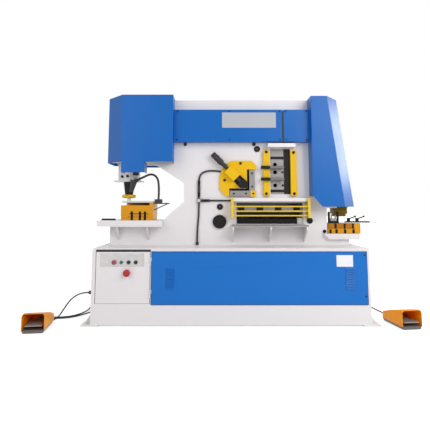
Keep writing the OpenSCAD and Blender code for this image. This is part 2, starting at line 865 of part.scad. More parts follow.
// Lubricating line: a hose from the angle plate, a tee, and hoses to the guard and the cabinet
module lube_line() {
    y = face_y - 12;
    tee = [-251, y, base_h + 362];
    color(dark) {
        tube(smooth([[hose_port[0], y, hose_port[1]], [-130, y, base_h + 610], [-190, y, base_h + 605],
            [-235, y, base_h + 580], [-251, y, base_h + 530], [-251, y, base_h + 490]], 3),
            hose_r, 10, [0, 1, 0], [-1, 0, 0], [0, 0, -1]);
        round_z(tee[0], y, [base_h + 420, base_h + 490 + sink], 11);
        round_z(tee[0], y, [tee[2], base_h + 420 + sink], hose_r);
        box([tee[0] - 13, tee[0] + 13], [y - 12, y + 12], [tee[2] - 16 - sink, tee[2] + 16]);
        round_x([tee[0] + 13 - sink, tee[0] + 90], y, tee[2], 11);
        round_x([tee[0] + 90 - sink, ledge[0] - guard_t], y, tee[2], hose_r);
        tube(smooth([[tee[0], y, tee[2] - 16], [-252, y, base_h + 250], [-262, y, base_h + 120],
            [-264, y, base_h + 22]], 3), hose_r, 10, [0, 1, 0], [0, 0, -1], [0, 0, -1]);
        round_z(-264, y, [base_h, base_h + 22 + sink], 12);
    }
}

// Punching end
module punch_cylinder() {
    color(white) difference() {
        union() {
            box([punch_x - 122, punch_x + 122], [-half_gap, half_gap],
                [ram_flange_z, ram_flange_z + flange_t]);
            round_z(punch_x, 0, [ram_flange_z + sink, top_z - 23], barrel_r);
        }
        round_z(punch_x, 0, [ram_flange_z - 1, top_z - 38], ram_r + fit);
    }
}

module punch_ram() {
    color(white) {
        round_z(punch_x, 0, [ram_block_z - 5, top_z - 143], ram_r);
        box([punch_x - ram_block_r, punch_x + ram_block_r], [-ram_half_d, ram_half_d],
            [ram_low_z, ram_block_z]);
        box([punch_x - ram_plate_r, punch_x + ram_plate_r], [-ram_half_d, ram_half_d],
            [ram_low_z - ram_plate_t, ram_low_z + sink]);
    }
}

module punch_holder() {
    color(dark) translate([punch_x, 0, holder_low_z])
        cylinder(r1 = 34, r2 = 48, h = ram_low_z - ram_plate_t - holder_low_z);
}

module punch_nut() {
    color(yellow) translate([punch_x, 0, nut_low_z]) difference() {
        rotate_extrude() polygon([[punch_r + 0.5, 0], [nut_r - 10, 0], [nut_r, 8], [nut_r, nut_h - 6],
            [nut_r - 6, nut_h], [punch_r + 0.5, nut_h]]);
        for (turn = [30:60:330])
            rotate(turn) box([nut_r - 7, nut_r + 1], [-7, 7], [-1, nut_h + 1]);
    }
}

module punch() {
    color("silver") round_z(punch_x, 0, [punch_tip_z, holder_low_z], punch_r);
}

module punch_table() {
    color(white) {
        difference() {
            box([table_x0, table_end_x], [-table_d / 2, table_d / 2], [low_arm_z, table_z]);
            round_z(punch_x, 0, [low_arm_z - 1, table_z + 1], slug_r + 4);
        }
        both([0, 1, 0]) for (x = [punch_x - 56, punch_x + 185])
            sideways([x, x + 16])
                polygon([[10 - table_d / 2, low_arm_z + sink], [10 - table_d / 2, low_arm_z],
                    [face_y, low_arm_z - 112], [face_y, low_arm_z + sink]]);
    }
}

module die_block() {
    half = block_d / 2;
    color(yellow) difference() {
        union() {
            box([block_x0, block_x1], [-half, half], [table_z, block_z]);
            box([block_x1 - wall_t, block_x1], [-half, half], [block_z - sink, strip_z]);
            box([block_x0, block_x1], [half - rear_wall_t, half], [block_z - sink, strip_z]);
        }
        round_z(punch_x, 0, [block_z - die_sunk, block_z + 1], die_r + 0.2);
        round_z(punch_x, 0, [table_z - 1, block_z], slug_r);
        for (x = slot_x)
            box([x - slot_w / 2, x + slot_w / 2], [-half - 1, half + 1], [table_z - 1, table_z + 48]);
        box([slot_x[0] - 30, slot_x[2] + 22], [-half - 1, 8 - half], [table_z + 27, table_z + 31]);
    }
}

module punch_die() {
    color(steel) difference() {
        round_z(punch_x, 0, [block_z - die_sunk, block_z - die_sunk + die_h], die_r);
        round_z(punch_x, 0, [block_z - die_sunk - 1, block_z + die_h], punch_r + 0.4);
    }
}

module stripper_plate() {
    color(steel) difference() {
        box([block_x0 + 8, block_x1], [-block_d / 2, block_d / 2], [strip_z, strip_z + stripper_t]);
        round_z(punch_x, 0, [strip_z - 1, strip_z + stripper_t + 1], punch_r + 2);
    }
}

// Work lamp on a shelf that is bolted to the die block
module work_lamp() {
    y = -100;
    foot_z = strip_z - 2;
    neck_x = block_x1 + 40;
    head = [block_x1 - 150, y, strip_z + 185];
    color(dark) {
        box([block_x1, block_x1 + 125], [-block_d / 2, -20], [foot_z - 8, foot_z]);
        upright([y + 20, y + 27]) polygon([[block_x1 + 122, foot_z - 8 + sink],
            [block_x1 + 104, foot_z - 8 + sink], [block_x1, foot_z - 54], [block_x1, foot_z - 62]]);
        box([neck_x - 30, neck_x + 30], [y - 25, y + 30], [foot_z - sink, foot_z + 30 + sink]);
        tube(smooth([[neck_x, y, foot_z + 30], [neck_x + 2, y, foot_z + 90], [neck_x, y, foot_z + 150],
            [neck_x - 10, y, foot_z + 200], [neck_x - 38, y, foot_z + 232], [neck_x - 75, y, foot_z + 238],
            [neck_x - 115, y, foot_z + 222], head], 3), 9, 10, [0, 1, 0], [0, 0, 1], unit([-0.9, 0, -0.42]));
        round_y(head[0], [y - 14, y + 14], head[2], 17);
        translate(head + [-18, 0, 4]) rotate([0, 192, 0]) cylinder(r1 = 31, r2 = 15, h = 105);
    }
}

// Notching end
module notch_opening(z, clear) {
    box([notch_x - notch_w / 2 - clear, notch_x + notch_w / 2 + clear],
        [-notch_d / 2 - clear, notch_d / 2 + clear], z);
}

module notch_table() {
    color(white) difference() {
        union() {
            upright([-150, 150]) polygon([[shelf_x0, shelf_top_z], [shelf_x0 + shelf_t, shelf_z],
                [shelf_end_x, shelf_z], [shelf_end_x, shelf_top_z]]);
            box([shelf_x0, shelf_end_x], [face_y, -face_y], [shelf_z, shelf_top_z]);
        }
        notch_opening([shelf_z - 1, shelf_top_z + 1], notch_clear + 6);
    }
}

module notch_die() {
    color(yellow) {
        difference() {
            box([die_x0, die_x1], [-die_d / 2, die_d / 2], [shelf_top_z, notch_die_z]);
            notch_opening([shelf_top_z - 1, notch_die_z + 1], notch_clear);
        }
        for (x = post_x)
            round_z(x, post_y, [notch_die_z - sink, notch_die_z + post_h], post_r);
    }
}

module notch_punch() {
    color("#6b5a20") {
        box([notch_x - holder_w / 2, notch_x + holder_w / 2], [-holder_d / 2, holder_d / 2],
            [holder_z, nose_z]);
        notch_opening([notch_tip_z, holder_z + sink], 0);
    }
}

module notch_gauge() {
    color(steel) difference() {
        box([gauge_x0, gauge_x1], [gauge_y - gauge_w / 2, gauge_y + gauge_w / 2],
            [notch_die_z, notch_die_z + gauge_t]);
        box([stud_x[0] - gauge_play - stud_r - 1, stud_x[1] + gauge_play + stud_r + 1],
            [gauge_y - gauge_slot / 2, gauge_y + gauge_slot / 2],
            [notch_die_z - 1, notch_die_z + gauge_t + 1]);
    }
}

module notch_lever(x) {
    hub_z = notch_die_z + gauge_t + fit;
    color(dark) {
        round_z(x, gauge_y, [notch_die_z, hub_z + sink], stud_r);
        round_z(x, gauge_y, [hub_z, hub_z + 36], 14);
        translate([x, gauge_y, hub_z + 28]) rotate([0, 70, -20]) {
            cylinder(r = 5, h = 58);
            translate([0, 0, 58]) sphere(r = 8, $fn = 24);
        }
    }
}

module notch_lever_left() {
    notch_lever(stud_x[0]);
}

module notch_lever_right() {
    notch_lever(stud_x[1]);
}

// Electrics door and its controls
module bezel(x, z, r_in, depth) {
    difference() {
        round_y(x, [front_y - depth, front_y + sink], z, cap_r + 3);
        round_y(x, [front_y - depth - 1, front_y + 1], z, r_in);
    }
}

module electrics_door() {
    places = [lamp_x, stop_x, start_x, selector_x[0], selector_x[1]];
    color(white) {
        difference() {
            box([door_x0, door_x1], [front_y, front_y + door_d], [door_z0, door_z1]);
            box([door_x0 + skin_t, door_x1 - skin_t], [front_y + skin_t, front_y + door_d + 1],
                [door_z0 + skin_t, door_z1 - skin_t]);
            for (x = places)
                round_y(x, [front_y - 1, front_y + skin_t + 1], control_z, button_hole_r);
            round_y(estop_x, [front_y - 1, front_y + skin_t + 1], estop_z, button_hole_r);
        }
        for (x = [stop_x, start_x])
            bezel(x, control_z, cap_r + 0.6, 5);
        bezel(estop_x, estop_z, button_hole_r, 10);
        for (z = hinge_z) difference() {
            union() {
                box([hinge_x - hinge_leaf, hinge_x], [front_y - 3, front_y], [z, z + hinge_h / 2]);
                box([hinge_x - hinge_leaf, door_x1], [front_y - 3, front_y + sink], [z, z + hinge_h / 2]);
                round_z(hinge_x, hinge_y, [z, z + hinge_h / 2], hinge_r);
            }
            round_z(hinge_x, hinge_y, [z - 1, z + hinge_h], hinge_pin_r + fit);
        }
    }
}

module push_button(x, shade) {
    color(shade) {
        round_y(x, [front_y - 11, front_y - 0.5 - button_travel], control_z, cap_r);
        round_y(x, [front_y - 0.5 - button_travel - sink, stem_y], control_z, stem_r);
    }
}

module power_lamp() {
    color("#f4f4f0") {
        round_y(lamp_x, [front_y - 9, front_y], control_z, cap_r + 1);
        round_y(lamp_x, [front_y - sink, stem_y], control_z, stem_r);
    }
}

module stop_button() {
    push_button(stop_x, "#cc2020");
}

module start_button() {
    push_button(start_x, "#20a050");
}

module emergency_stop() {
    color("#cc2020") {
        round_y(estop_x, [front_y - 34, front_y - 18], estop_z, estop_r);
        round_y(estop_x, [front_y - 18 - sink, stem_y], estop_z, stem_r);
    }
}

module selector(x) {
    color(dark) {
        round_y(x, [front_y - 6, front_y - fit], control_z, cap_r + 2);
        box([x - 4, x + 4], [front_y - 18, front_y - 6 + sink], [control_z - 13, control_z + 13]);
        round_y(x, [front_y - fit - sink, stem_y], control_z, stem_r);
    }
}

module selector_left() {
    selector(selector_x[0]);
}

module selector_right() {
    selector(selector_x[1]);
}

// Foot switches, drawn with the lead's exit above the origin and the mouth towards -Y
module at_exit(place) {
    translate([place[0], place[1], 0]) rotate(pedal_turn) children();
}

module round_top(w, z, r) {
    translate([-w / 2, z[0]]) square([w, z[1] - r - z[0]]);
    translate([r - w / 2, z[0]]) square([w - 2 * r, z[1] - z[0]]);
    for (x = [r - w / 2, w / 2 - r])
        translate([x, z[1] - r]) circle(r = r);
}

module hood_shape(inset, mouth, low) {
    top = pedal_h - inset;
    rear = -relief_l - 6 - inset;
    intersection() {
        sideways([inset - pedal_w / 2, pedal_w / 2 - inset])
            polygon([[mouth, low], [mouth, top], [-170, top - 24], [-100, top - 44], [rear - 12, 76 - inset],
                [rear, 58], [rear, low]]);
        upright([mouth, rear]) round_top(pedal_w - 2 * inset, [low, top], 28 - inset);
    }
}

module pedal_hood(place) {
    mouth = -pedal_l - 4;
    color(orange) at_exit(place) difference() {
        hood_shape(0, mouth, pedal_base_h);
        hood_shape(hood_t, mouth - 20, pedal_base_h - 1);
        round_y(0, [-relief_l - 20, 0], exit_h, relief_r + fit);
    }
}

module pedal_base(place) {
    rear = -relief_l - 6 - hood_t - 1;
    color("#8a8a8c") at_exit(place) {
        upright([-pedal_l, -relief_l - 6]) polygon([[-65, 0], [65, 0], [pedal_w / 2, pedal_base_h],
            [-pedal_w / 2, pedal_base_h]]);
        box([-18, 18], [rear - 20, rear], [pedal_base_h - sink, exit_h + 16]);
        round_y(0, [rear - 1, 0], exit_h, relief_r);
        both([1, 0, 0]) difference() {
            box([treadle_w / 2 + 2, treadle_w / 2 + 2 + lug_t], [treadle_y - 10, treadle_y + 10],
                [pedal_base_h - sink, treadle_z + 11]);
            round_x([treadle_w / 2, treadle_w / 2 + 20], treadle_y, treadle_z, 5 + fit);
        }
    }
}

module treadle(place) {
    color(dark) at_exit(place) {
        box([-treadle_w / 2, treadle_w / 2], [-pedal_l + 4, treadle_y],
            [treadle_z - treadle_t / 2, treadle_z + treadle_t / 2]);
        round_x([-treadle_w / 2, treadle_w / 2], treadle_y, treadle_z, treadle_t);
        round_x([-treadle_w / 2 - lug_t, treadle_w / 2 + lug_t], treadle_y, treadle_z, 5);
    }
}

module left_pedal_hood() {
    pedal_hood(left_exit);
}

module right_pedal_hood() {
    pedal_hood(right_exit);
}

module left_pedal_base() {
    pedal_base(left_exit);
}

module right_pedal_base() {
    pedal_base(right_exit);
}

module left_treadle() {
    treadle(left_exit);
}

module right_treadle() {
    treadle(right_exit);
}

// Glands and leads
module cord_glands() {
    color(dark) {
        round_x([-half_w - gland_l, -half_w], left_gland_y, gland_z, gland_r);
        round_x([half_w, half_w + gland_l], right_gland_y, gland_z, gland_r);
    }
}

module lead(route, start) {
    color(dark) tube(smooth(route, 4), cord_r, 8, [0, 0, 1], start, [sin(pedal_turn), -cos(pedal_turn), 0]);
}

module left_cord() {
    lead(left_route, [-1, 0, 0]);
}

module right_cord() {
    lead(right_route, [1, 0, 0]);
}

base_cabinet();
front_panel();
electrics_board();
oil_tank();
power_unit();
frame_front_plate();
frame_body();
punch_cover();
notcher_cover();
band_covers();
punch_cylinder();
punch_table();
die_block();
punch_die();
stripper_plate();
work_lamp();
angle_plate();
angle_fixed_blades();
bar_strips();
bar_rest_pins();
bar_fixed_blade();
flat_guard();
flat_lower_blade();
feed_table();
pivot_pin();
notch_table();
notch_die();
shear_cylinder();
lube_line();
left_pedal_hood();
left_pedal_base();
right_pedal_hood();
right_pedal_base();
cord_glands();
left_cord();
right_cord();
shear_beam();
angle_moving_blade();
bar_moving_blade();
flat_upper_blade();
notch_punch();
shear_rod();
punch_ram();
punch_holder();
punch_nut();
punch();
angle_clamp_block();
angle_clamp_screw();
electrics_door();
power_lamp();
stop_button();
start_button();
emergency_stop();
selector_left();
selector_right();
left_treadle();
right_treadle();
notch_gauge();
notch_lever_left();
notch_lever_right();
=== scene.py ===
# Hydraulic ironworker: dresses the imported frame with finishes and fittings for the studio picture
import json
import math

import bmesh
import bpy
from mathutils import Matrix, Vector


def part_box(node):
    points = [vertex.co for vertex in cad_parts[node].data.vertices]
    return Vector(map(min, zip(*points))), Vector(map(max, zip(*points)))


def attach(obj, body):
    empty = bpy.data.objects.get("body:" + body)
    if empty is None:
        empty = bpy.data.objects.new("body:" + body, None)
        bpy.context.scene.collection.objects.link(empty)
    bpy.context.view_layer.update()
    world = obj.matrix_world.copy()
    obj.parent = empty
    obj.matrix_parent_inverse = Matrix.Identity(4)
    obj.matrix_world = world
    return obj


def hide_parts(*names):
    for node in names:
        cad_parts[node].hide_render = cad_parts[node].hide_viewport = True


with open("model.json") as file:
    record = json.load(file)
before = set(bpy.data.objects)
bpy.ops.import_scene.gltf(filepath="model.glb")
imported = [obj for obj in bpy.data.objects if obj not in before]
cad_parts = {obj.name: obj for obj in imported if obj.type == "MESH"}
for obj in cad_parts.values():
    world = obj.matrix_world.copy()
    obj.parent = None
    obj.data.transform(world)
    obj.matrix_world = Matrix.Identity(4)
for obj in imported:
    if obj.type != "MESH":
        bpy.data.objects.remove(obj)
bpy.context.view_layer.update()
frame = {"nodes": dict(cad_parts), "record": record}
nodes = frame["nodes"]
scene = bpy.context.scene
mm = 0.001
weldWithin = 0.01 * mm
print("frame loaded:", len(nodes), "nodes")


def toLinear(hexColour):
    levels = [int(hexColour[i:i + 2], 16) / 255 for i in (1, 3, 5)]
    return [v / 12.92 if v <= 0.04045 else ((v + 0.055) / 1.055) ** 2.4 for v in levels] + [1.0]


def toned(hexColour, share, lift=0):
    return [min(1, v * share + lift) for v in toLinear(hexColour)[:3]] + [1.0]


def addNode(tree, kind, settings=None, links=None):
    node = tree.nodes.new(kind)
    for key, value in (settings or {}).items():
        if isinstance(key, int) or key in node.inputs:
            node.inputs[key].default_value = value
        else:
            setattr(node, key, value)
    for key, source in (links or {}).items():
        tree.links.new(source, node.inputs[key])
    return node


def newMaterial(name):
    material = bpy.data.materials.new(name)
    material.use_nodes = True
    tree = material.node_tree
    tree.nodes.clear()
    shader = addNode(tree, "ShaderNodeBsdfPrincipled")
    addNode(tree, "ShaderNodeOutputMaterial", links={"Surface": shader.outputs["BSDF"]})
    place = addNode(tree, "ShaderNodeTexCoord").outputs["Object"]
    return material, tree, shader, place


# A finish takes its colour, its roughness and its relief from one pattern each
def dress(tree, shader, colours, cloud, roughness, sheen, relief, strength, height):
    shade = addNode(tree, "ShaderNodeMix", {"data_type": "RGBA", 6: colours[0], 7: colours[1]},
                    {0: cloud.outputs["Fac"]})
    rough = addNode(tree, "ShaderNodeMapRange", {"To Min": roughness[0], "To Max": roughness[1]},
                    {"Value": sheen.outputs["Fac"]})
    bump = addNode(tree, "ShaderNodeBump", {"Strength": strength, "Distance": height * mm},
                   {"Height": relief.outputs["Fac"]})
    tree.links.new(shade.outputs[2], shader.inputs["Base Color"])
    tree.links.new(rough.outputs["Result"], shader.inputs["Roughness"])
    tree.links.new(bump.outputs["Normal"], shader.inputs["Normal"])


# Sprayed and stoved enamel: an even gloss with faint orange peel, a little uneven in tone over a panel
def enamel(name, colour, toneMm=260, peelMm=5, roughness=0.32, tone=0.05):
    material, tree, shader, place = newMaterial(name)
    cloud = addNode(tree, "ShaderNodeTexNoise", {"Scale": 1000 / toneMm, "Detail": 3.0}, {"Vector": place})
    # the peel is drawn about three times as coarse as it is, to show in the picture
    peel = addNode(tree, "ShaderNodeTexNoise", {"Scale": 1000 / peelMm, "Detail": 1.0}, {"Vector": place})
    dress(tree, shader, (toned(colour, 1 - tone), toLinear(colour)), cloud,
          (roughness - 0.05, roughness + 0.08), cloud, peel, strength=0.05, height=0.4)
    shader.inputs["IOR"].default_value = 1.5
    shader.inputs["Specular IOR Level"].default_value = 0.3
    return material


# Bare metal with the lines of its last cut: ground, turned or brushed along one axis
def machinedMetal(name, colour, lineMm=1.5, lengthMm=60, stainMm=45, roughness=0.34, along=(1, 0, 0), depth=0.12):
    material, tree, shader, place = newMaterial(name)
    spread = [1000 / (lengthMm if a else lineMm) for a in along]
    lines = addNode(tree, "ShaderNodeMapping", {"Scale": spread}, {"Vector": place})
    grain = addNode(tree, "ShaderNodeTexNoise", {"Scale": 1.0, "Detail": 4.0}, {"Vector": lines.outputs[0]})
    stain = addNode(tree, "ShaderNodeTexNoise", {"Scale": 1000 / stainMm, "Detail": 4.0}, {"Vector": place})
    dress(tree, shader, (toned(colour, 0.72), toLinear(colour)), stain,
          (roughness - 0.1, roughness + 0.14), grain, grain, strength=depth, height=0.3)
    shader.inputs["Metallic"].default_value = 1.0
    return material


# Moulded plastic and rubber: a fine spark-eroded grain that breaks up the highlight
def moulded(name, colour, grainMm=1.2, handledMm=40, roughness=0.45, depth=0.15):
    material, tree, shader, place = newMaterial(name)
    grain = addNode(tree, "ShaderNodeTexNoise", {"Scale": 1000 / grainMm, "Detail": 2.0}, {"Vector": place})
    handled = addNode(tree, "ShaderNodeTexNoise", {"Scale": 1000 / handledMm, "Detail": 2.0}, {"Vector": place})
    dress(tree, shader, (toLinear(colour), toned(colour, 1.25, 0.004)), handled,
          (roughness - 0.06, roughness + 0.1), handled, grain, strength=depth, height=0.2)
    shader.inputs["IOR"].default_value = 1.49
    return material


blueEnamel = enamel("blueEnamel", "#0062b4")
panelEnamel = enamel("panelBlueEnamel", "#006cc2", toneMm=420)
whiteEnamel = enamel("warmWhiteEnamel", "#e9e5e6", tone=0.03)
plateEnamel = enamel("plateWhiteEnamel", "#eeedf2", tone=0.02, roughness=0.4)
nameEnamel = enamel("satinGreyEnamel", "#b4b6be", tone=0.03, roughness=0.45)
yellowEnamel = enamel("yellowEnamel", "#ecbc00", toneMm=120)
amberEnamel = enamel("amberEnamel", "#dc9800", toneMm=90)
guardEnamel = enamel("guardYellowEnamel", "#e8c63a", toneMm=90)
greyEnamel = enamel("greyHammerEnamel", "#85868a", toneMm=60, peelMm=9, roughness=0.42)
groundSteel = machinedMetal("groundToolSteel", "#b9b7b6")
turnedSteel = machinedMetal("turnedSteel", "#c4c3c4", lineMm=1.0, along=(0, 0, 1), roughness=0.28)
blackSteel = machinedMetal("blackOxideSteel", "#2b2929", roughness=0.5, depth=0.06)
wornSteel = machinedMetal("wornToolSteel", "#8b8886", lineMm=3, roughness=0.44)
strawSteel = machinedMetal("oiledStrawSteel", "#5f4f18", roughness=0.46)
# Brown of the gauge's painted shadow on the notching die's upper tier, drawn as a metal
gaugeShadowSteel = machinedMetal("gaugeShadowBrown", "#9a6420", roughness=0.44)
scaleSteel = machinedMetal("rolledSteel", "#6f6d6d", lineMm=6, roughness=0.5, depth=0.08)
hardChrome = machinedMetal("hardChrome", "#d4d6d8", lineMm=0.8, roughness=0.16, depth=0.03)
plateAluminium = machinedMetal("brushedPlateAluminium", "#bebbbb", lineMm=2.2, lengthMm=120, roughness=0.42,
                               depth=0.05)
neopreneRubber = moulded("neopreneRubber", "#171616", roughness=0.6)
glassFilledNylon = moulded("glassFilledNylon", "#171516", roughness=0.5)
redPlastic = moulded("redPolycarbonate", "#a3110b", roughness=0.3, depth=0.05)
dullRedPlastic = moulded("dullRedLens", "#8f3a41", roughness=0.34, depth=0.05)
greenPlastic = moulded("greenPolycarbonate", "#175c41", roughness=0.3, depth=0.05)
milkLens = moulded("milkyAcrylic", "#cdcac6", roughness=0.22, depth=0.03)
# Powder coat on the castings of the foot switches: an even, matt grain, a little coarser than that of plastic
baseCoat = moulded("darkGreyPowderCoat", "#5f5a58", grainMm=2.0, roughness=0.5)
treadleCoat = moulded("lightGreyPowderCoat", "#85837f", grainMm=2.0, roughness=0.48)
# Orange ABS of the foot switches: a few millimetres of it let some light through to the inside
hoodPlastic = moulded("orangeAbs", "#f09208", grainMm=1.6, roughness=0.4)
hoodShader = next(node for node in hoodPlastic.node_tree.nodes if node.type == "BSDF_PRINCIPLED")
hoodShader.inputs["Subsurface Weight"].default_value = 0.45
hoodShader.inputs["Specular IOR Level"].default_value = 0.2
hoodShader.inputs["Subsurface Radius"].default_value = (1.0, 0.45, 0.1)
hoodShader.inputs["Subsurface Scale"].default_value = 0.012
print("materials made")

# Camera: at the height of the tables, a little left of the middle, tilted up, with the lens shifted down
view = {"place": (-0.118, -3.453, 0.871), "tiltUp": 6.0, "lens": 33.49, "sensor": 36.0, "shiftUp": -0.114}
lensData = bpy.data.cameras.new("studioCamera")
lensData.lens, lensData.sensor_width, lensData.shift_y = view["lens"], view["sensor"], view["shiftUp"]
camera = bpy.data.objects.new("studioCamera", lensData)
camera.location = view["place"]
camera.rotation_euler = (math.radians(90 + view["tiltUp"]), 0, 0)
scene.collection.objects.link(camera)
scene.camera = camera
scene.view_settings.view_transform = "Standard"


def putMesh(name, bm, material, body="machine"):
    mesh = bpy.data.meshes.new(name)
    bm.to_mesh(mesh)
    bm.free()
    piece = bpy.data.objects.new(name, mesh)
    mesh.materials.append(material)
    scene.collection.objects.link(piece)
    if body:
        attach(piece, body)
    return piece


# The leads of the foot switches follow the frame's solids, with the turns eased to what a 10 mm lead can bend
leads = {
    "diameter": 10 * mm,
    "left": [(-1100, -250, 217), (-1145, -251, 213), (-1190, -253, 198), (-1230, -256, 170), (-1262, -260, 132),
             (-1290, -266, 88), (-1320, -274, 44), (-1360, -279, 15), (-1388, -263, 6), (-1399, -233, 6),
             (-1388, -203, 6), (-1360, -187, 6), (-1320, -181, 6), (-1280, -163, 6), (-1243, -134, 6),
             (-1212, -93, 6), (-1184, -45, 6), (-1160, 10, 6), (-1140, 75, 6), (-1128, 140, 6), (-1122, 200, 6),
             (-1123, 255, 6), (-1138, 282, 6), (-1168, 293, 6), (-1198, 282, 6), (-1213, 255, 6), (-1213, 205, 6),
             (-1207, 145, 6), (-1203, 85, 6), (-1207, 25, 6), (-1221, -35, 6), (-1247, -90, 6), (-1286, -130, 6),
             (-1334, -150, 6), (-1380, -166, 9), (-1412, -197, 20), (-1427, -238, 33), (-1429, -280, 40)],
    "right": [(1100, 150, 217), (1125, 150, 214), (1147, 152, 200), (1161, 158, 176), (1169, 168, 146),
              (1174, 182, 112), (1175, 203, 78), (1172, 228, 48), (1166, 258, 20), (1161, 289, 8), (1167, 319, 6),
              (1189, 341, 6), (1220, 345, 6), (1247, 331, 6), (1261, 303, 6), (1261, 262, 6), (1257, 216, 6),
              (1255, 168, 6), (1259, 120, 6), (1265, 70, 6), (1272, 15, 6), (1278, -40, 6), (1280, -88, 12),
              (1273, -140, 28), (1263, -190, 40)],
}


# A curve through all the points, with a few steps between each two
def smoothLine(points, steps=4):
    p = [Vector(v) * mm for v in points]
    line = []
    for i in range(len(p) - 1):
        a, b, c, d = p[max(i - 1, 0)], p[i], p[i + 1], p[min(i + 2, len(p) - 1)]
        for k in range(steps):
            t = k / steps
            line.append(0.5 * (2 * b + (c - a) * t + (2 * a - 5 * b + 4 * c - d) * t * t
                               + (3 * b - 3 * c + d - a) * t ** 3))
    return line + [p[-1]]


for side in ("left", "right"):
    line = smoothLine(leads[side])
    curve = bpy.data.curves.new(side + "Lead", "CURVE")
    curve.dimensions = "3D"
    curve.bevel_depth, curve.bevel_resolution, curve.use_fill_caps = leads["diameter"] / 2, 4, True
    spline = curve.splines.new("POLY")
    spline.points.add(len(line) - 1)
    for point, place in zip(spline.points, line):
        point.co = (*place, 1)
    lead = bpy.data.objects.new(side + "Lead", curve)
    curve.materials.append(neopreneRubber)
    scene.collection.objects.link(lead)
    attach(lead, "machine")
    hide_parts(side + "_cord")
    length = sum((b - a).length for a, b in zip(line, line[1:]))
    print(side, "lead laid:", round(length, 3), "m")


# 1 for what the camera sees, straight or through a reflection, and 0 for light that falls on the object
def seenByCamera(tree):
    path = addNode(tree, "ShaderNodeLightPath")
    seen = addNode(tree, "ShaderNodeMath", {"operation": "ADD"},
                   {0: path.outputs["Is Camera Ray"], 1: path.outputs["Is Glossy Ray"]})
    seenThrough = addNode(tree, "ShaderNodeMath", {"operation": "ADD", "use_clamp": True},
                          {0: seen.outputs[0], 1: path.outputs["Is Transmission Ray"]})
    return seenThrough.outputs[0]


# Studio: a pale floor and large soft lamps, the stronger ones on the right as in the photograph
studio = {"floor": "#f4f4f4", "floorRoughness": 0.9, "floorReach": 40, "floorGlow": (0.5, 1.0),
          "glowReach": (1.9, 3.6), "worldLight": 0.4, "aim": (0, 0, 0.9),
          "lamps": {"keyLamp": ((2.6, -3.6, 2.8), 2.6, 100), "sideLamp": ((3.95, 1.2, 2.15), 1.3, 44),
                    "fillLamp": ((-2.8, -3.6, 2.6), 3.0, 46), "topLamp": ((0.2, 0.3, 4.2), 3.6, 30)}}
floorMaterial, tree, shader, place = newMaterial("paleFloorPaint")
shader.inputs["Base Color"].default_value = toLinear(studio["floor"])
shader.inputs["Roughness"].default_value = studio["floorRoughness"]
shader.inputs["Emission Color"].default_value = (1, 1, 1, 1)
away = addNode(tree, "ShaderNodeVectorMath", {"operation": "LENGTH"}, {0: place})
(near, far), (dim, bright) = studio["glowReach"], studio["floorGlow"]
level = addNode(tree, "ShaderNodeMapRange", {"From Min": near, "From Max": far, "To Min": dim, "To Max": bright},
                {"Value": away.outputs["Value"]})
glow = addNode(tree, "ShaderNodeMath", {"operation": "MULTIPLY"},
               {0: seenByCamera(tree), 1: level.outputs["Result"]})
tree.links.new(glow.outputs[0], shader.inputs["Emission Strength"])
bm = bmesh.new()
bmesh.ops.create_grid(bm, x_segments=1, y_segments=1, size=studio["floorReach"])
floor = putMesh("studioFloor", bm, floorMaterial, None)
for name, (place, size, power) in studio["lamps"].items():
    lamp = bpy.data.lights.new(name, "AREA")
    lamp.size, lamp.energy = size, power
    holder = bpy.data.objects.new(name, lamp)
    holder.location = place
    holder.rotation_euler = (Vector(studio["aim"]) - Vector(place)).to_track_quat("-Z", "Y").to_euler()
    scene.collection.objects.link(holder)
world = bpy.data.worlds.new("studioWorld")
scene.world = world
world.use_nodes = True
tree = world.node_tree
tree.nodes.clear()
level = addNode(tree, "ShaderNodeMapRange", {"To Min": studio["worldLight"], "To Max": 1.0},
                {"Value": seenByCamera(tree)})
sky = addNode(tree, "ShaderNodeBackground", {"Color": (1, 1, 1, 1)}, {"Strength": level.outputs["Result"]})
addNode(tree, "ShaderNodeOutputWorld", links={"Surface": sky.outputs[0]})
print("studio lit")

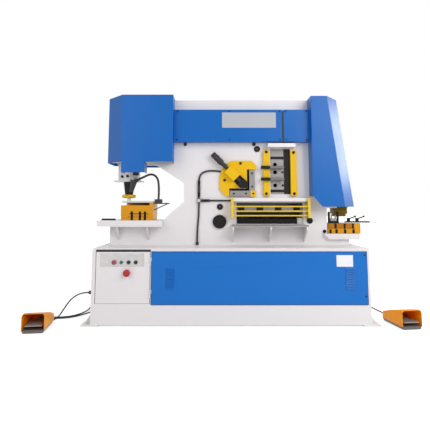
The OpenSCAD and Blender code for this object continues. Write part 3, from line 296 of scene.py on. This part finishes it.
# Finishes of the frame's own nodes, and the rolled or broken edges that they are made with, in mm
finishes = [
    (blueEnamel, {"punch_cover": 5, "notcher_cover": 5, "band_covers": 4}),
    (panelEnamel, {"front_panel": 2.5}),
    (whiteEnamel, {"base_cabinet": 3, "frame_front_plate": 2, "frame_body": 2, "punch_cylinder": 2, "punch_table": 3,
                   "feed_table": 2, "notch_table": 2, "punch_ram": 2, "electrics_door": 2}),
    (yellowEnamel, {"angle_plate": 2, "bar_strips": 2, "punch_nut": 2}),
    (amberEnamel, {"die_block": 2, "notch_die": 2}),
    (guardEnamel, {"flat_guard": 1.5}),
    (hoodPlastic, {"left_pedal_hood": 1.5, "right_pedal_hood": 1.5}),
    (treadleCoat, {"left_treadle": 1.5, "right_treadle": 1.5}),
    (baseCoat, {"left_pedal_base": 2, "right_pedal_base": 2}),
    (greyEnamel, {"electrics_board": 1.5, "oil_tank": 3, "power_unit": 2}),
    (groundSteel, {"punch_die": 0.6, "stripper_plate": 1, "angle_moving_blade": 1, "notch_gauge": 1}),
    (wornSteel, {"bar_fixed_blade": 1.5, "angle_fixed_blades": 1.5}),
    (turnedSteel, {"punch": 0.5, "shear_cylinder": 2}),
    (hardChrome, {"shear_rod": 1}),
    (scaleSteel, {"shear_beam": 2}),
    (blackSteel, {"flat_lower_blade": 1, "flat_upper_blade": 1, "bar_moving_blade": 1, "bar_rest_pins": 1,
                  "pivot_pin": 3, "punch_holder": 2, "angle_clamp_block": 2, "notch_lever_left": 1,
                  "notch_lever_right": 1}),
    (strawSteel, {"notch_punch": 2}),
    (neopreneRubber, {"angle_clamp_screw": 2, "lube_line": 0}),
    (glassFilledNylon, {"work_lamp": 0, "cord_glands": 2, "selector_left": 1, "selector_right": 1}),
    (redPlastic, {"stop_button": 1.5, "emergency_stop": 1.5}),
    (greenPlastic, {"start_button": 1.5}),
    (milkLens, {"power_lamp": 2.5}),
]
# Angles in degrees: the louvres rise from the panel at a slight angle, so its edges stay sharp sooner
creases = {"sharpFrom": {"front_panel": 8}, "sharpElse": 34, "bevelFrom": 30, "flatWithin": 0.5}
bodyOf = {n: body for body, names in frame["record"]["behaviour"]["bodies"].items() for n in names}


def softened(node, material, width):
    sharp = math.radians(creases["sharpFrom"].get(node, creases["sharpElse"]))
    bm = bmesh.new()
    bm.from_mesh(nodes[node].data)
    bmesh.ops.remove_doubles(bm, verts=bm.verts, dist=weldWithin)
    bmesh.ops.dissolve_limit(bm, angle_limit=math.radians(creases["flatWithin"]), verts=bm.verts, edges=bm.edges)
    for face in bm.faces:
        face.smooth = True
    piece = putMesh(node + "Finished", bm, material, bodyOf[node])
    piece.data.set_sharp_from_angle(angle=sharp)
    edge = piece.modifiers.new("brokenEdge", "BEVEL")
    edge.width, edge.segments, edge.limit_method = width * mm, 2, "ANGLE"
    edge.angle_limit, edge.harden_normals = max(sharp, math.radians(creases["bevelFrom"])), True
    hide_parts(node)


for material, edges in finishes:
    for node, width in edges.items():
        nodes[node].data.materials.clear()
        nodes[node].data.materials.append(material)
        if width:
            softened(node, material, width)
print("finishes put on")


# Geometry Nodes: a tree starts with its named inputs and ends in real, painted geometry
def startTree(name, inputs):
    tree = bpy.data.node_groups.new(name, "GeometryNodeTree")
    tree.interface.new_socket("Geometry", in_out="INPUT", socket_type="NodeSocketGeometry")
    for label, kind in inputs:
        tree.interface.new_socket(label, in_out="INPUT", socket_type="NodeSocket" + kind)
    tree.interface.new_socket("Geometry", in_out="OUTPUT", socket_type="NodeSocketGeometry")
    return tree, addNode(tree, "NodeGroupInput").outputs


def endTree(tree, geometry, finish):
    real = addNode(tree, "GeometryNodeRealizeInstances", links={"Geometry": geometry})
    painted = addNode(tree, "GeometryNodeSetMaterial", links={"Geometry": real.outputs[0], "Material": finish})
    addNode(tree, "NodeGroupOutput", links={"Geometry": painted.outputs[0]})


# Runs a tree on a set of points and keeps the result as a plain mesh
def grown(name, tree, points, inputs, body):
    mesh = bpy.data.meshes.new(name)
    mesh.from_pydata([Vector(p) * mm for p in points], [], [])
    piece = bpy.data.objects.new(name, mesh)
    scene.collection.objects.link(piece)
    growth = piece.modifiers.new("growth", "NODES")
    growth.node_group = tree
    sockets = {item.name: item.identifier for item in tree.interface.items_tree
               if item.item_type == "SOCKET" and item.in_out == "INPUT"}
    for label, value in inputs.items():
        growth[sockets[label]] = value
    ready = piece.evaluated_get(bpy.context.evaluated_depsgraph_get())
    plain = bpy.data.meshes.new_from_object(ready)
    piece.modifiers.clear()
    piece.data = plain
    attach(piece, body)


# Round or hexagon screws with a crowned head and a socket, one at each point; sizes as shares of the head
screwShape = {"crownHeight": 0.22, "crownWidth": 0.84, "socketDepth": 0.7}
screwTree, given = startTree("socketScrews", [("Head radius", "Float"), ("Head height", "Float"), ("Sides", "Int"),
                                              ("Socket share", "Float"), ("Facing", "Vector"), ("Finish", "Material")])
head = addNode(screwTree, "GeometryNodeMeshCylinder", {"fill_type": "NGON"},
               {"Vertices": given["Sides"], "Radius": given["Head radius"], "Depth": given["Head height"]})
rise = addNode(screwTree, "ShaderNodeMath", {"operation": "MULTIPLY", 1: screwShape["crownHeight"]},
               {0: given["Head height"]})
crown = addNode(screwTree, "GeometryNodeExtrudeMesh", {"mode": "FACES"},
                {"Mesh": head.outputs["Mesh"], "Selection": head.outputs["Top"], "Offset Scale": rise.outputs[0]})
taper = addNode(screwTree, "GeometryNodeScaleElements", {"Scale": screwShape["crownWidth"]},
                {"Geometry": crown.outputs["Mesh"], "Selection": crown.outputs["Top"]})
rim = addNode(screwTree, "GeometryNodeExtrudeMesh", {"mode": "FACES", "Offset Scale": 0.0},
              {"Mesh": taper.outputs[0], "Selection": crown.outputs["Top"]})
mouth = addNode(screwTree, "GeometryNodeScaleElements", {},
                {"Geometry": rim.outputs["Mesh"], "Selection": rim.outputs["Top"], "Scale": given["Socket share"]})
sunk = addNode(screwTree, "ShaderNodeMath", {"operation": "MULTIPLY", 1: -screwShape["socketDepth"]},
               {0: given["Head height"]})
socket = addNode(screwTree, "GeometryNodeExtrudeMesh", {"mode": "FACES"},
                 {"Mesh": mouth.outputs[0], "Selection": rim.outputs["Top"], "Offset Scale": sunk.outputs[0]})
half = addNode(screwTree, "ShaderNodeMath", {"operation": "MULTIPLY", 1: 0.5}, {0: given["Head height"]})
lift = addNode(screwTree, "ShaderNodeCombineXYZ", links={"Z": half.outputs[0]})
seated = addNode(screwTree, "GeometryNodeTransform",
                 links={"Geometry": socket.outputs["Mesh"], "Translation": lift.outputs[0]})
spots = addNode(screwTree, "GeometryNodeMeshToPoints", links={"Mesh": given["Geometry"]})
turn = addNode(screwTree, "FunctionNodeEulerToRotation", links={0: given["Facing"]})
driven = addNode(screwTree, "GeometryNodeInstanceOnPoints",
                 links={"Points": spots.outputs[0], "Instance": seated.outputs[0], "Rotation": turn.outputs[0]})
endTree(screwTree, driven.outputs[0], given["Finish"])

# Ways that a screw faces, and the Y of the faces that fittings sit on, from the frame out to the blue panel
front, up, right = (math.pi / 2, 0, 0), (0, 0, 0), (0, math.pi / 2, 0)
faceY, plateY, stripY, bandY, cabinetY, panelY = -120, -140, -150, -190, -400, -410


def screwed(name, at, radius, height, sides=24, socketShare=0.55, facing=front, finish=blackSteel, body="machine"):
    grown(name, screwTree, at, {"Head radius": radius * mm, "Head height": height * mm, "Sides": sides,
                                "Socket share": socketShare, "Facing": facing, "Finish": finish}, body)


screws = {
    "frameBolts": {"radius": 25, "height": 9, "at": [(-77, faceY, 881), (235, faceY, 1364), (664, faceY, 768)]},
    "frameScrews": {"radius": 14, "height": 8, "at": [(210, faceY, 1404), (-368, faceY, 1404), (784, faceY, 680)]},
    "angleScrews": {"radius": 11, "height": 7, "at": [(94, plateY, 1241), (-38, plateY, 1101)]},
    "bladeScrews": {"radius": 8, "height": 3, "at": [(190, plateY, 1158), (190, plateY, 1047), (38, plateY, 990),
                                                     (138, plateY, 990), (199, plateY, 990)]},
    "stripScrews": {"radius": 11, "height": 7, "at": [(309, stripY, 1335), (536, stripY, 1331), (305, stripY, 989),
                                                      (536, stripY, 989)]},
    "bandScrews": {"radius": 6, "height": 3,
                   "at": [(x, bandY, z) for x in (-430, 0, 420, 470, 640) for z in (1432, 1671)]},
}
for name, group in screws.items():
    screwed(name, group["at"], group["radius"], group["height"])
print("screws driven:", sum(len(group["at"]) for group in screws.values()))


def boxInto(bm, spans):
    corners = bmesh.ops.create_cube(bm, size=1.0)["verts"]
    middle = Matrix.Translation([(s[0] + s[1]) / 2 * mm for s in spans])
    bmesh.ops.transform(bm, verts=corners, matrix=middle @ Matrix.Diagonal([(s[1] - s[0]) * mm for s in spans] + [1]))


# One piece made of flat-sided blocks with broken edges
def blocks(name, spans, material, body="machine", edge=1.0):
    bm = bmesh.new()
    for span in spans:
        boxInto(bm, span)
    for face in bm.faces:
        face.smooth = True
    piece = putMesh(name, bm, material, body)
    broken = piece.modifiers.new("brokenEdge", "BEVEL")
    broken.width, broken.segments, broken.harden_normals = edge * mm, 2, True


def about(middle, width):
    return (middle - width / 2, middle + width / 2)


def circle(x, z, radius, sides):
    return [(x + radius * math.cos(a), z + radius * math.sin(a))
            for a in (2 * math.pi * i / sides for i in range(sides))]


# One piece turned about a line along Y, from (radius, y) pairs
def turned(name, x, z, profile, material, body, sides=40, sharp=40):
    bm = bmesh.new()
    rings = [[bm.verts.new(Vector((px, y, pz)) * mm) for px, pz in circle(x, z, radius, sides)]
             for radius, y in profile]
    for low, high in zip(rings, rings[1:]):
        for i in range(sides):
            bm.faces.new((low[i], low[i - 1], high[i - 1], high[i]))
    bm.faces.new(rings[0])
    bm.faces.new(rings[-1][::-1])
    bmesh.ops.recalc_face_normals(bm, faces=bm.faces)
    for face in bm.faces:
        face.smooth = len(face.verts) == 4
    piece = putMesh(name, bm, material, body)
    piece.data.set_sharp_from_angle(angle=math.radians(sharp))
    return piece


def boxMm(node):
    low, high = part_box(node)
    return [[a / mm, b / mm] for a, b in zip(low, high)]


# A sheet cut to an outline in X and Z with round holes, its back at y
def pierced(name, spanX, spanZ, y, thick, holes, material, body, holeSides=32):
    sheet = bpy.data.curves.new(name, "CURVE")
    sheet.dimensions, sheet.fill_mode, sheet.extrude = "2D", "BOTH", thick / 2 * mm
    outlines = [[(spanX[0], spanZ[0]), (spanX[1], spanZ[0]), (spanX[1], spanZ[1]), (spanX[0], spanZ[1])]]
    outlines += [circle(x, z, radius, holeSides) for x, z, radius in holes]
    for outline in outlines:
        spline = sheet.splines.new("POLY")
        spline.points.add(len(outline) - 1)
        spline.use_cyclic_u = True
        for point, (px, pz) in zip(spline.points, outline):
            point.co = (px * mm, pz * mm, 0, 1)
    holder = bpy.data.objects.new(name + "Sheet", sheet)
    scene.collection.objects.link(holder)
    mesh = bpy.data.meshes.new_from_object(holder.evaluated_get(bpy.context.evaluated_depsgraph_get()))
    bpy.data.objects.remove(holder)
    mesh.transform(Matrix.Translation((0, (y - thick / 2) * mm, 0)) @ Matrix.Rotation(math.pi / 2, 4, "X"))
    bm = bmesh.new()
    bm.from_mesh(mesh)
    bmesh.ops.remove_doubles(bm, verts=bm.verts, dist=weldWithin)
    bmesh.ops.recalc_face_normals(bm, faces=bm.faces)
    piece = putMesh(name, bm, material, body)


# Plates: plain sheet, riveted or glued on
plates = {"nameX": (-60, 387), "nameZ": (1532, 1661), "nameThick": 3, "rivetX": (-50, 377), "rivetZ": (1541, 1652),
          "rivetRadius": 3.5, "rivetHeight": 2, "ratingX": (789, 912), "ratingZ": (436, 521), "ratingThick": 1.2,
          "controlX": (-977, -649), "controlZ": (436, 532), "controlThick": 1.5, "holeRoom": 5.5}
nameY = bandY - plates["nameThick"]
blocks("namePlate", [(plates["nameX"], (nameY, bandY), plates["nameZ"])], nameEnamel, edge=1.5)
screwed("nameRivets", [(x, nameY, z) for x in plates["rivetX"] for z in plates["rivetZ"]], plates["rivetRadius"],
        plates["rivetHeight"], sides=16, socketShare=0.3, finish=turnedSteel)
blocks("ratingPlate", [(plates["ratingX"], (panelY - plates["ratingThick"], panelY), plates["ratingZ"])], plateEnamel,
       edge=0.4)
holes = []
for node in ("power_lamp", "stop_button", "start_button", "selector_left", "selector_right"):
    spanX, _, spanZ = boxMm(node)
    holes.append((sum(spanX) / 2, sum(spanZ) / 2, (spanX[1] - spanX[0]) / 2 + plates["holeRoom"]))
pierced("controlPlate", plates["controlX"], plates["controlZ"], cabinetY, plates["controlThick"], holes,
        plateAluminium, bodyOf["electrics_door"])

# Painted shade: a black rubber strip over the gap above the door makes that gap as dark as the shade inside it
doorGapShade = {"above": 2, "height": 16, "thick": 1.5}
doorX, _, doorZ = boxMm("electrics_door")
gapShadeLow = doorZ[1] + doorGapShade["above"]
blocks("doorGapShade", [(doorX, (cabinetY - doorGapShade["thick"], cabinetY), (gapShadeLow, gapShadeLow + doorGapShade["height"]))],
       neopreneRubber, edge=0.5)

# Rubber seal round the blue panel, partly the dark gap at its edges and partly painted shadow along them, and two
# screws at its right end
sealAndShadow = {"left": 5, "right": 6, "below": 6, "above": 4, "corner": 5, "thick": 2.5}
panelScrews = {"inset": 14, "z": (220, 520), "radius": 6, "height": 3}
panelX, _, panelZ = boxMm("front_panel")
sealY = (cabinetY - sealAndShadow["thick"], cabinetY)
sealZ = (panelZ[0] - sealAndShadow["corner"], panelZ[1] + sealAndShadow["corner"])
blocks("panelSealAndShadow", [((panelX[0] - sealAndShadow["left"], panelX[0]), sealY, sealZ),
                     ((panelX[1], panelX[1] + sealAndShadow["right"]), sealY, sealZ),
                     (panelX, sealY, (panelZ[0] - sealAndShadow["below"], panelZ[0])),
                     (panelX, sealY, (panelZ[1], panelZ[1] + sealAndShadow["above"]))], neopreneRubber, edge=0.6)
screwed("panelScrews", [(panelX[1] - panelScrews["inset"], panelY, z) for z in panelScrews["z"]],
        panelScrews["radius"], panelScrews["height"], sides=20, socketShare=0.5)

# Pushbutton heads: a broad lamp-type stop head, as wide as in the photograph, and the emergency stop's domed face
heads = {
    "stopHead": {"on": "stop_button", "finish": dullRedPlastic, "profile": ((17, 0), (17, -4), (15, -6), (10, -7))},
    "emergencyDome": {"on": "emergency_stop", "finish": redPlastic,
                      "profile": ((26, 0), (25.4, -2), (23.5, -4), (19.5, -6), (12, -7.5), (4, -8))},
}
for name, cap in heads.items():
    spanX, spanY, spanZ = boxMm(cap["on"])
    turned(name, sum(spanX) / 2, sum(spanZ) / 2, [(radius, spanY[0] + y) for radius, y in cap["profile"]],
           cap["finish"], bodyOf[cap["on"]])
print("plates and heads set")

# Bar shear: a dark keeper beside the bored blade, bands across it, and steel sleeves on the bar rests
barFittings = {"keeperX": (458, 508), "keeperZ": (987, 1363), "keeperThick": 6, "sleeveX": (337, 452),
               "sleeveY": (-176, -149), "restZ": (1108, 1205), "screwX": 447, "screwZ": (1058, 1168, 1285),
               "screwRadius": 9, "screwHeight": 4, "bandX": (346, 456), "bandZ": (1289, 1012), "bandThick": 4,
               "width": 22}
blocks("barKeeper", [(barFittings["keeperX"], (faceY - barFittings["keeperThick"], faceY), barFittings["keeperZ"])],
       blackSteel)
blocks("restSleeves", [(barFittings["sleeveX"], barFittings["sleeveY"], about(z, barFittings["width"]))
                       for z in barFittings["restZ"]], scaleSteel, edge=2)
screwed("keeperScrews", [(barFittings["screwX"], faceY, z) for z in barFittings["screwZ"]],
        barFittings["screwRadius"], barFittings["screwHeight"], socketShare=0.6)
blocks("bladeBands", [(barFittings["bandX"], (faceY - barFittings["bandThick"], faceY), about(z, barFittings["width"]))
                      for z in barFittings["bandZ"]], blackSteel)

# Caps of the tie bolts: a small worn screw at the bottom of the socket of two black caps
capScrews = {"caps": screws["frameBolts"]["at"][:2], "out": 4, "radius": 6, "height": 3}
screwed("capScrews", [(x, y - capScrews["out"], z) for x, y, z in capScrews["caps"]], capScrews["radius"],
        capScrews["height"], socketShare=0.5, finish=scaleSteel)

# Band covers: a black rubber strip over the joint between them
bandSeal = {"x": (437, 453), "thick": 1.5, "shortAtTop": 18}
bandZ = boxMm("band_covers")[2]
blocks("bandSeal", [(bandSeal["x"], (bandY - bandSeal["thick"], bandY), (bandZ[0], bandZ[1] - bandSeal["shortAtTop"]))],
       neopreneRubber, edge=0.5)

# Angle shear: the yellow corner below the blades, and a rubber sleeve with two grooves on the clamp's grip
angleCorner = {"x": (176, 219), "z": (963, 1015), "thick": 1.5}
clampGrip = {"length": 112, "gripRadius": 19, "on": Vector((147, -160, 1033)),
             "outwards": Vector((-1, 0, 1)).normalized(),
             "profile": ((19.5, 0), (24, 4), (25, 20), (25, 38), (23, 41), (23, 47), (25, 50), (24.5, 78), (22.5, 81),
                         (22.5, 87), (24.5, 90), (24, 106), (20, 112))}
blocks("angleCorner", [(angleCorner["x"], (plateY - angleCorner["thick"], plateY), angleCorner["z"])], yellowEnamel,
       edge=0.6)
reach = (clampGrip["on"].x - boxMm("angle_clamp_screw")[0][0]) * math.sqrt(2) - clampGrip["gripRadius"]
sleeve = turned("clampGrip", 0, 0,
                [(radius, along + reach - clampGrip["length"]) for radius, along in clampGrip["profile"]],
                neopreneRubber, bodyOf["angle_clamp_screw"])
sleeve.data.transform(Matrix.Translation(clampGrip["on"] * mm)
                      @ Vector((0, 1, 0)).rotation_difference(clampGrip["outwards"]).to_matrix().to_4x4())

# Lubrication: a bright tee where the hose branches, and crimped ferrules beside it
hoseFittings = {"teeX": -251, "teeZ": 932, "teeSize": 26, "y": -133, "radius": 10.5,
                "ferrules": {"riserFerrule": ((-251, 958), 44, up), "upperFerrule": ((-251, 1062), 30, up),
                             "branchFerrule": ((-222, 932), 46, right)}}
for name, ((x, z), length, facing) in hoseFittings["ferrules"].items():
    screwed(name, [(x, hoseFittings["y"], z)], hoseFittings["radius"], length, socketShare=0.6, facing=facing)
blocks("hoseTee", [(about(hoseFittings["teeX"], hoseFittings["teeSize"]), (faceY - hoseFittings["teeSize"], faceY),
                    about(hoseFittings["teeZ"], hoseFittings["teeSize"]))], turnedSteel, edge=3)

# Flat shear: the hold-down bar behind the guard with its four pads, the stop block beside the lower blade,
# and a steel sheet on the feed table, turned down over its front edge, whose grey is painted shade on the table's top
# and front edge
flatFittings = {"barX": (62, 608), "barY": (-118, -88), "barZ": (846, 890), "padX": (99, 254, 405, 559), "padWidth": 54,
                "padY": (-126, -118), "padZ": (850, 886), "stopX": (562, 607), "stopY": (-118, -84),
                "stopZ": (742, 790), "sheetThick": 1.5, "sheetDrop": 9}
blocks("flatHoldDown", [(flatFittings["barX"], flatFittings["barY"], flatFittings["barZ"])], wornSteel,
       edge=2)
blocks("holdDownPads", [(about(x, flatFittings["padWidth"]), flatFittings["padY"], flatFittings["padZ"])
                        for x in flatFittings["padX"]], blackSteel, edge=1.5)
blocks("bladeStop", [(flatFittings["stopX"], flatFittings["stopY"], flatFittings["stopZ"])], whiteEnamel,
       edge=2)
feedX, feedY, feedZ = boxMm("feed_table")
sheetTop = feedZ[1] + flatFittings["sheetThick"]
# painted shade: the sheet greys the top and the front edge of the feed table
blocks("feedSheetAndShade", [(feedX, (feedY[0], faceY), (feedZ[1], sheetTop)),
                     (feedX, (feedY[0] - flatFittings["sheetThick"], feedY[0]),
                      (feedZ[1] - flatFittings["sheetDrop"], sheetTop))], wornSteel, edge=0.4)

# Punching end: keys and bolts in the die block's slots, and clamps with a bar across on its face
dieFittings = {"at": (-805, -738, -697), "width": 19, "keyY": (-118, 118), "keyUp": (0.5, 44), "boltUp": 24,
               "boltRadius": 9, "boltHeight": 5, "clampUp": (48, 72), "clampThick": 3,
               "barX": (-826, -668), "barUp": (50, 55), "barThick": 2}
_, blockY, blockZ = boxMm("die_block")
foot = blockZ[0]
blocks("dieKeys", [(about(x, dieFittings["width"]), dieFittings["keyY"], [foot + z for z in dieFittings["keyUp"]])
                   for x in dieFittings["at"]], blackSteel)
blocks("dieClamps", [(about(x, dieFittings["width"]), (blockY[0] - dieFittings["clampThick"], blockY[0]),
                      [foot + z for z in dieFittings["clampUp"]]) for x in dieFittings["at"]]
       + [(dieFittings["barX"], (blockY[0] - dieFittings["barThick"], blockY[0]),
           [foot + z for z in dieFittings["barUp"]])], blackSteel, edge=0.8)
screwed("dieKeyBolts", [(x, dieFittings["keyY"][0], foot + dieFittings["boltUp"]) for x in dieFittings["at"]],
        dieFittings["boltRadius"], dieFittings["boltHeight"], sides=6, socketShare=0.3)
print("station fittings set")

# Notching end: brown plates of painted shadow, cast by the gauge on the die's upper tier, with black painted shade in
# the gaps between them, over black keys on the die's front, a stripper between the sleeved posts, and a black fence
# along the gauge
dieX, dieY, _ = boxMm("notch_die")
_, gaugeY, gaugeZ = boxMm("notch_gauge")
notchFittings = {"shadowX": ((dieX[0] + 2, 866), (885, 942), (960, 1011)), "shadowZ": (702, gaugeZ[0] - 1),
                 "shadowThick": 3, "gapX": (875, 951, 1020), "gapWidth": 18, "gapThick": 2,
                 "keyX": (833, 883, 954, 1023), "keyWidth": 19, "keyZ": (664, 697), "postX": (826, 898), "postY": -110,
                 "sleeveRadius": 9.5, "sleeveHeight": 78, "stripperX": (836, 888), "stripperY": (-118, -102),
                 "stripperZ": (765, 786), "pinX": (847, 878), "pinRadius": 6, "pinHeight": 24,
                 "fenceX": (957, 1168), "fenceThick": 3.5, "fenceHeight": 10}
shadowY = (dieY[0] - notchFittings["shadowThick"], dieY[0])
# painted shadow of the gauge over the die's upper tier, and painted shade in the gaps between its blocks
blocks("notchGaugeShadow", [(span, shadowY, notchFittings["shadowZ"]) for span in notchFittings["shadowX"]], gaugeShadowSteel,
       edge=0.6)
blocks("notchShadowGaps", [(about(x, notchFittings["gapWidth"]), (dieY[0] - notchFittings["gapThick"], dieY[0]),
                           notchFittings["shadowZ"]) for x in notchFittings["gapX"]], blackSteel,
       edge=0.6)
blocks("notchKeys", [(about(x, notchFittings["keyWidth"]), shadowY, notchFittings["keyZ"])
                     for x in notchFittings["keyX"]], blackSteel, edge=1)
screwed("postSleeves", [(x, notchFittings["postY"], gaugeZ[0]) for x in notchFittings["postX"]],
        notchFittings["sleeveRadius"], notchFittings["sleeveHeight"], socketShare=0.4, facing=up)
stripperLow, stripperTop = notchFittings["stripperZ"]
blocks("stripperFoot", [(notchFittings["stripperX"], notchFittings["stripperY"], (gaugeZ[0], stripperLow))], blackSteel)
blocks("stripperBlock", [(notchFittings["stripperX"], notchFittings["stripperY"], notchFittings["stripperZ"])],
       wornSteel)
screwed("stripperPins", [(x, notchFittings["postY"], stripperTop) for x in notchFittings["pinX"]],
        notchFittings["pinRadius"], notchFittings["pinHeight"], sides=20, socketShare=0.5, facing=up, finish=wornSteel)
blocks("gaugeFence", [(notchFittings["fenceX"], (gaugeY[0], gaugeY[0] + notchFittings["fenceThick"]),
                       (gaugeZ[1], gaugeZ[1] + notchFittings["fenceHeight"]))], blackSteel,
       bodyOf["notch_gauge"])

# Ram and table: bolts and a limit switch on the ram, and a black stop bar on the punching table
ramFittings = {"bolts": ((-907, 1137), (-862, 1141)), "boltRadius": 11, "boltHeight": 7, "switchX": (-814, -764),
               "switchZ": (1147, 1174), "switchDeep": 14}
tableStop = {"x": (-1061, -947), "y": (-106, -84), "height": 14}
ramFront = boxMm("punch_ram")[1][0]
tableTop = boxMm("punch_table")[2][1]
screwed("ramBolts", [(x, ramFront, z) for x, z in ramFittings["bolts"]], ramFittings["boltRadius"],
        ramFittings["boltHeight"], body=bodyOf["punch_ram"])
blocks("ramSwitch", [(ramFittings["switchX"], (ramFront - ramFittings["switchDeep"], ramFront),
                      ramFittings["switchZ"])], glassFilledNylon, bodyOf["punch_ram"], edge=2)
blocks("tableStop", [(tableStop["x"], tableStop["y"], (tableTop, tableTop + tableStop["height"]))], blackSteel,
       edge=1)

# Painted shade: black rubber flaps inside the rear windows darken the feed openings as the shade inside them does
shadeFlapTree, given = startTree("shadeFlapRow", [("Width", "Float"), ("Thickness", "Float"), ("Length", "Float"),
                                            ("Finish", "Material")])
flapSize = addNode(shadeFlapTree, "ShaderNodeCombineXYZ",
                   links={"X": given["Width"], "Y": given["Thickness"], "Z": given["Length"]})
strip = addNode(shadeFlapTree, "GeometryNodeMeshCube", links={"Size": flapSize.outputs[0]})
drop = addNode(shadeFlapTree, "ShaderNodeMath", {"operation": "MULTIPLY", 1: -0.5}, {0: given["Length"]})
below = addNode(shadeFlapTree, "ShaderNodeCombineXYZ", links={"Z": drop.outputs[0]})
hung = addNode(shadeFlapTree, "GeometryNodeTransform",
               links={"Geometry": strip.outputs["Mesh"], "Translation": below.outputs[0]})
spots = addNode(shadeFlapTree, "GeometryNodeMeshToPoints", links={"Mesh": given["Geometry"]})
row = addNode(shadeFlapTree, "GeometryNodeInstanceOnPoints",
              links={"Points": spots.outputs[0], "Instance": hung.outputs[0]})
endTree(shadeFlapTree, row.outputs[0], given["Finish"])
# each window: left edge, number of flaps, top edge and length
shadeFlaps = {"width": 22.5, "gap": 0.5, "thick": 3, "y": 76,
         "windows": {"angleShadeFlaps": (-62, 12, 1250, 272), "barShadeFlaps": (333, 8, 1375, 402),
                     "flatShadeFlaps": (48, 25, 925, 196)}}
for name, (left, count, top, length) in shadeFlaps["windows"].items():
    grown(name, shadeFlapTree, [(left + (i + 0.5) * (shadeFlaps["width"] + shadeFlaps["gap"]), shadeFlaps["y"], top) for i in range(count)],
          {"Width": shadeFlaps["width"] * mm, "Thickness": shadeFlaps["thick"] * mm, "Length": length * mm,
           "Finish": neopreneRubber}, "machine")
print("notching end, ram and flaps set")
